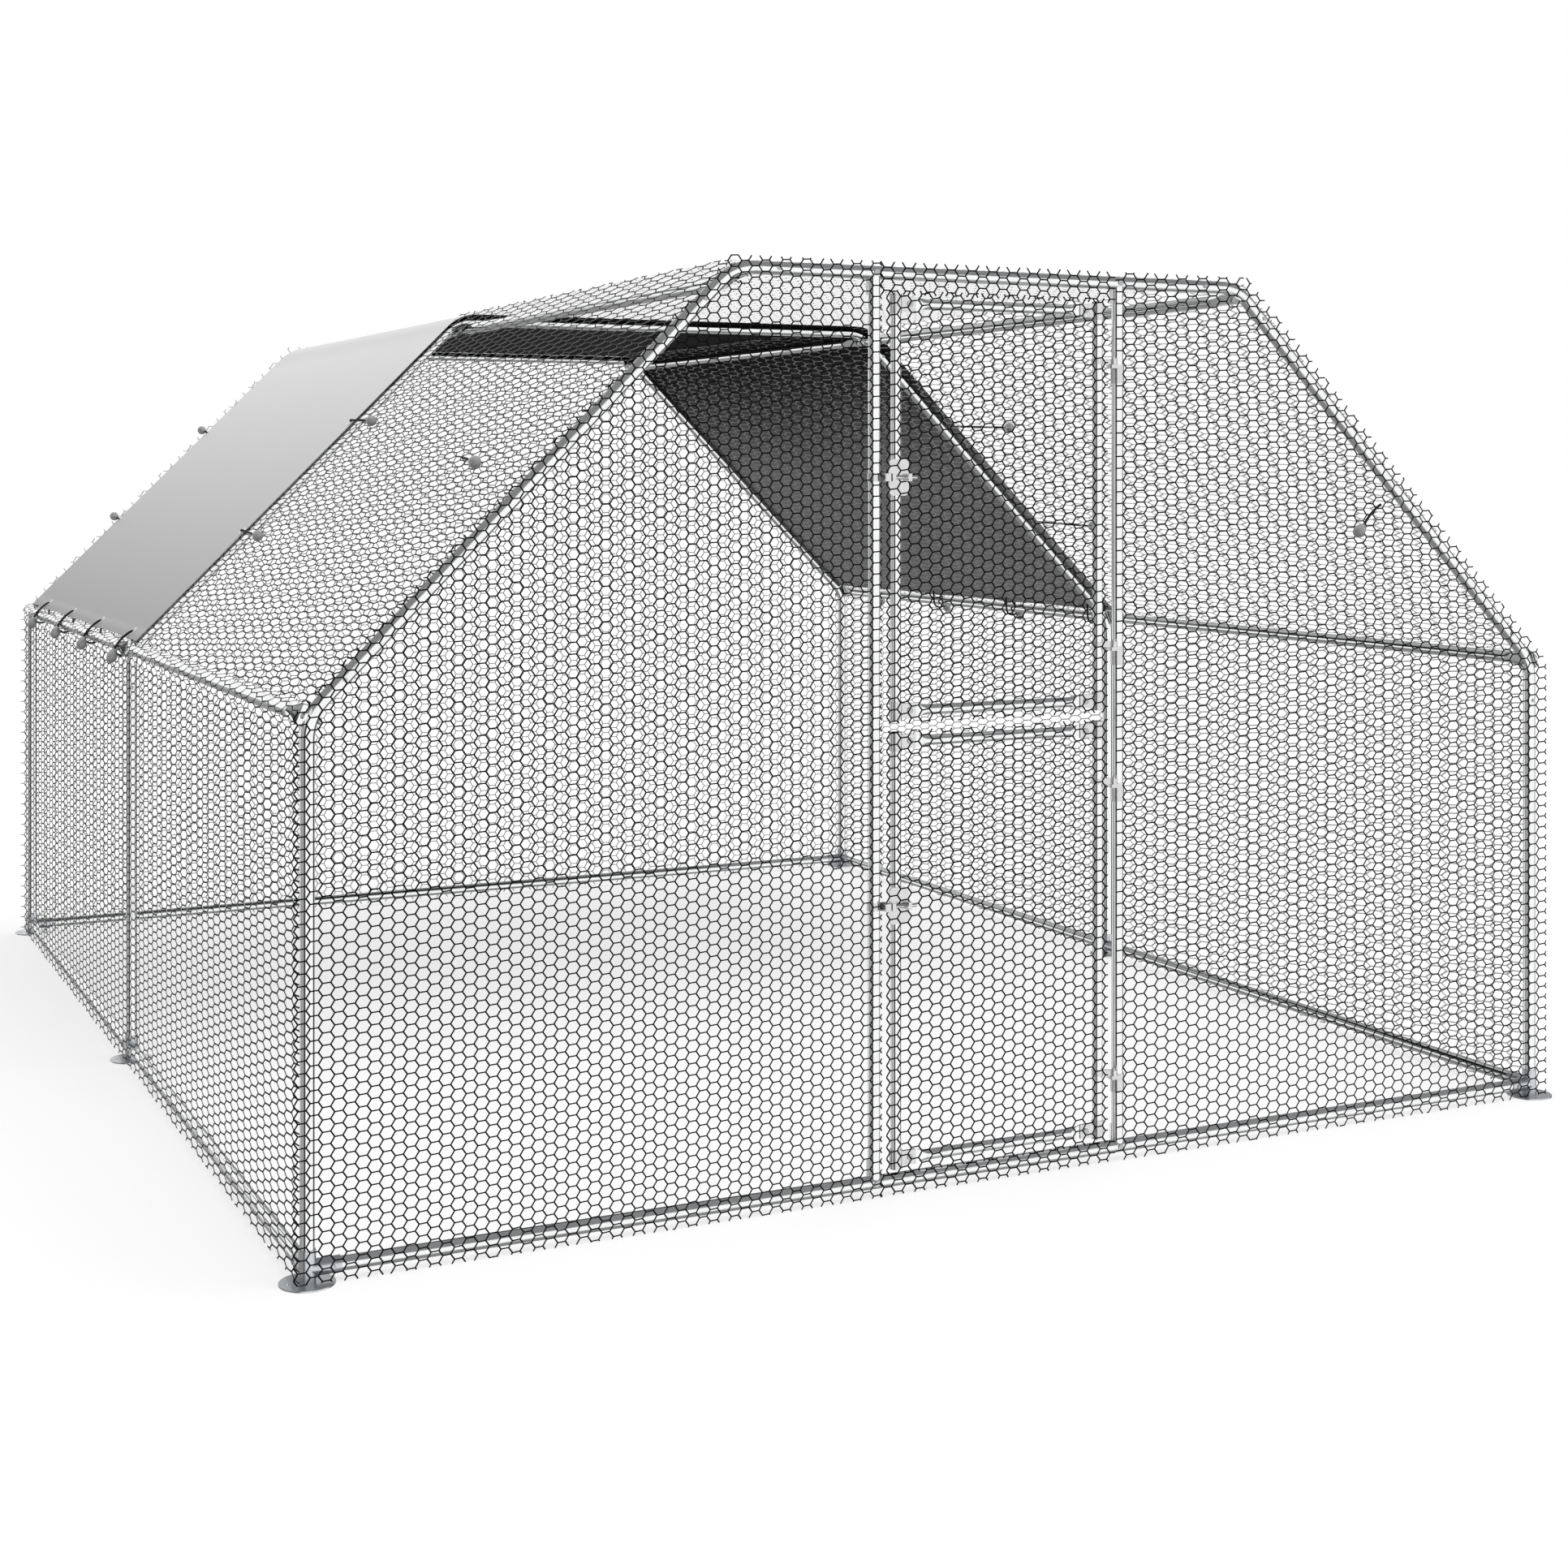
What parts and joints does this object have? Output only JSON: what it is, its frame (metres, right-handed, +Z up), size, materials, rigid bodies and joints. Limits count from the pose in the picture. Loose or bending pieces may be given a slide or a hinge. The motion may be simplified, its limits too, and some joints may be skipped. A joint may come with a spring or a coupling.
{
  "type": "walk-in poultry run",
  "caption": "Walk-in poultry run of bent steel tube arches clad in hexagonal wire netting, with a tied cover over the rear bay and a split door with sliding latches.",
  "frame": {"origin": "on the ground, at the middle of the run's length and width", "axes": "+Z up, +Y from the door end to the covered rear end, +X to the right seen from the door"},
  "size_m": [3.077, 3.7248, 1.9292],
  "materials": {
    "tube_steel": "bright galvanised",
    "foot_steel": "galvanised, slightly blue",
    "fitting_steel": "galvanised pressed steel",
    "fastener_zinc": "zinc plated",
    "net_wire": "thin dark coated wire",
    "cover_cloth": "silver-grey woven sheet, black underneath",
    "eyelet_metal": "bright rolled ring",
    "cord_rubber": "black elastic cord",
    "ball_plastic": "grey moulded ball"
  },
  "bodies": {
    "frame": {"arch_elbows_front": "tube_steel", "arch_elbows_mid": "tube_steel", "arch_elbows_rear": "tube_steel", "cover_eyelets": "eyelet_metal", "door_post_left": "tube_steel", "door_post_right": "tube_steel", "eave_tubes": "tube_steel", "foot_plates": "foot_steel", "frame_bolts": "fastener_zinc", "frame_screws": "fastener_zinc", "front_net_left": "net_wire", "front_net_right": "net_wire", "front_net_strips": "net_wire", "front_sill_tubes": "tube_steel", "hinge_pintles": "fitting_steel", "latch_keepers": "fitting_steel", "left_roof_net": "net_wire", "left_wall_net": "net_wire", "post_front_left": "tube_steel", "post_front_right": "tube_steel", "post_mid_left": "tube_steel", "post_mid_right": "tube_steel", "post_rear_left": "tube_steel", "post_rear_right": "tube_steel", "rafter_front_left": "tube_steel", "rafter_front_right": "tube_steel", "rafter_mid_left": "tube_steel", "rafter_mid_right": "tube_steel", "rafter_rear_left": "tube_steel", "rafter_rear_right": "tube_steel", "rear_cover": "cover_cloth", "rear_net": "net_wire", "rear_sill_tubes": "tube_steel", "right_roof_net": "net_wire", "right_wall_net": "net_wire", "roof_purlins": "tube_steel", "side_sills": "tube_steel", "tie_balls": "ball_plastic", "tie_cords": "cord_rubber", "top_roof_net": "net_wire", "top_tube_front": "tube_steel", "top_tube_mid": "tube_steel", "top_tube_rear": "tube_steel"},
    "lower_leaf": {"lower_latch_plate": "fitting_steel", "lower_leaf_bolts": "fastener_zinc", "lower_leaf_clamps": "fitting_steel", "lower_leaf_hinge_eyes": "fitting_steel", "lower_leaf_net": "net_wire", "lower_leaf_rails": "tube_steel", "lower_leaf_stiles": "tube_steel"},
    "upper_leaf": {"upper_latch_plate": "fitting_steel", "upper_leaf_bolts": "fastener_zinc", "upper_leaf_clamps": "fitting_steel", "upper_leaf_hinge_eyes": "fitting_steel", "upper_leaf_net": "net_wire", "upper_leaf_rails": "tube_steel", "upper_leaf_stiles": "tube_steel"},
    "lower_bolt": {"lower_latch_bolt": "fitting_steel"},
    "upper_bolt": {"upper_latch_bolt": "fitting_steel"}
  },
  "joints": [
    {"name": "lower_leaf_hinge", "type": "hinge", "parent": "frame", "child": "lower_leaf", "pos_m": [0.2805, -1.826, 0.5], "axis": [0, 0, 1], "range_deg": [0, 150]},
    {"name": "upper_leaf_hinge", "type": "hinge", "parent": "frame", "child": "upper_leaf", "pos_m": [0.2805, -1.826, 1.4], "axis": [0, 0, 1], "range_deg": [0, 150]},
    {"name": "lower_latch_slide", "type": "slide", "parent": "lower_leaf", "child": "lower_bolt", "axis": [-1, 0, 0], "range_m": [0, 0.018]},
    {"name": "upper_latch_slide", "type": "slide", "parent": "upper_leaf", "child": "upper_bolt", "axis": [-1, 0, 0], "range_m": [0, 0.018]}
  ]
}
